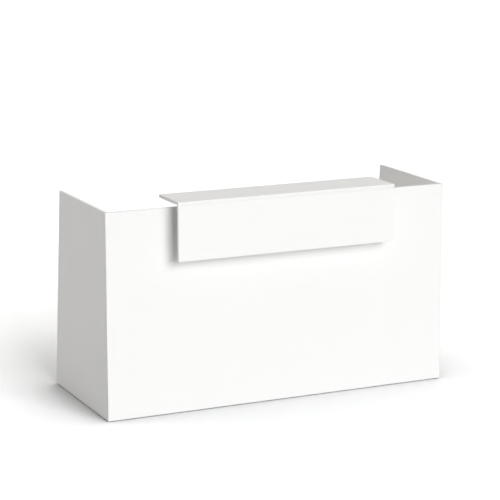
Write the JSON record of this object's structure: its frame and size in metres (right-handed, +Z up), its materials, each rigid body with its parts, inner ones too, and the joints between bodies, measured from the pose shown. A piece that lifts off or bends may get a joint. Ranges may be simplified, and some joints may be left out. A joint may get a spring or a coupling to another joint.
{
  "type": "reception desk",
  "caption": "Reception desk with a full-width front panel, sides with leaning rear edges, a worktop behind, and a raised visitors' counter with a hanging fascia.",
  "frame": {"origin": "on the floor, in the middle of the desk's bounding box", "axes": "+X to the right as seen from the front, +Y from the visitors' side to the open back, +Z up"},
  "size_m": [2, 0.913, 1.162],
  "materials": {
    "melamine": "satin",
    "edge_strip": "satin",
    "white_steel": "satin",
    "zinc": "satin",
    "white_plastic": "satin",
    "grey_nylon": "matte"
  },
  "bodies": {
    "desk": {"front_panel": "melamine", "front_panel_edging": "edge_strip", "left_side_panel": "melamine", "left_side_panel_edging": "edge_strip", "right_side_panel": "melamine", "right_side_panel_edging": "edge_strip", "worktop": "melamine", "worktop_edging": "edge_strip", "worktop_stiffener": "white_steel", "worktop_bracket_left_front": "white_steel", "worktop_bracket_left_rear": "white_steel", "worktop_bracket_right_front": "white_steel", "worktop_bracket_right_rear": "white_steel", "worktop_bracket_panel_left": "white_steel", "worktop_bracket_panel_middle": "white_steel", "worktop_bracket_panel_right": "white_steel", "counter_top": "melamine", "counter_top_edging": "edge_strip", "counter_fascia": "melamine", "counter_fascia_edging": "edge_strip", "counter_bracket_left": "white_steel", "counter_bracket_middle": "white_steel", "counter_bracket_right": "white_steel", "counter_angle_left_end": "white_steel", "counter_angle_left": "white_steel", "counter_angle_right": "white_steel", "counter_angle_right_end": "white_steel", "fascia_spacer_left": "white_steel", "fascia_spacer_middle": "white_steel", "fascia_spacer_right": "white_steel", "cam_left_lower": "zinc", "cam_left_middle": "zinc", "cam_left_upper": "zinc", "cam_right_lower": "zinc", "cam_right_middle": "zinc", "cam_right_upper": "zinc", "cam_bolt_left_lower": "zinc", "cam_bolt_left_middle": "zinc", "cam_bolt_left_upper": "zinc", "cam_bolt_right_lower": "zinc", "cam_bolt_right_middle": "zinc", "cam_bolt_right_upper": "zinc", "grommet_left": "white_plastic", "grommet_right": "white_plastic", "foot_left_front_socket": "zinc", "foot_left_rear_socket": "zinc", "foot_right_front_socket": "zinc", "foot_right_rear_socket": "zinc", "foot_panel_left_socket": "zinc", "foot_panel_right_socket": "zinc"},
    "foot_left_front": {"foot_left_front": "grey_nylon"},
    "foot_left_rear": {"foot_left_rear": "grey_nylon"},
    "foot_right_front": {"foot_right_front": "grey_nylon"},
    "foot_right_rear": {"foot_right_rear": "grey_nylon"},
    "foot_panel_left": {"foot_panel_left": "grey_nylon"},
    "foot_panel_right": {"foot_panel_right": "grey_nylon"},
    "grommet_lid_left": {"grommet_left_lid": "white_plastic"},
    "grommet_lid_right": {"grommet_right_lid": "white_plastic"}
  },
  "joints": [
    {"name": "foot_left_front_thread", "type": "slide", "parent": "desk", "child": "foot_left_front", "axis": [0, 0, -1], "range_m": [0, 0.012]},
    {"name": "foot_left_rear_thread", "type": "slide", "parent": "desk", "child": "foot_left_rear", "axis": [0, 0, -1], "range_m": [0, 0.012]},
    {"name": "foot_right_front_thread", "type": "slide", "parent": "desk", "child": "foot_right_front", "axis": [0, 0, -1], "range_m": [0, 0.012]},
    {"name": "foot_right_rear_thread", "type": "slide", "parent": "desk", "child": "foot_right_rear", "axis": [0, 0, -1], "range_m": [0, 0.012]},
    {"name": "foot_panel_left_thread", "type": "slide", "parent": "desk", "child": "foot_panel_left", "axis": [0, 0, -1], "range_m": [0, 0.012]},
    {"name": "foot_panel_right_thread", "type": "slide", "parent": "desk", "child": "foot_panel_right", "axis": [0, 0, -1], "range_m": [0, 0.012]},
    {"name": "grommet_lid_left_turn", "type": "hinge", "parent": "desk", "child": "grommet_lid_left", "pos_m": [-0.4, -0.2405, 0.74], "axis": [0, 0, 1], "continuous": true},
    {"name": "grommet_lid_right_turn", "type": "hinge", "parent": "desk", "child": "grommet_lid_right", "pos_m": [0.4, -0.2405, 0.74], "axis": [0, 0, 1], "continuous": true}
  ]
}
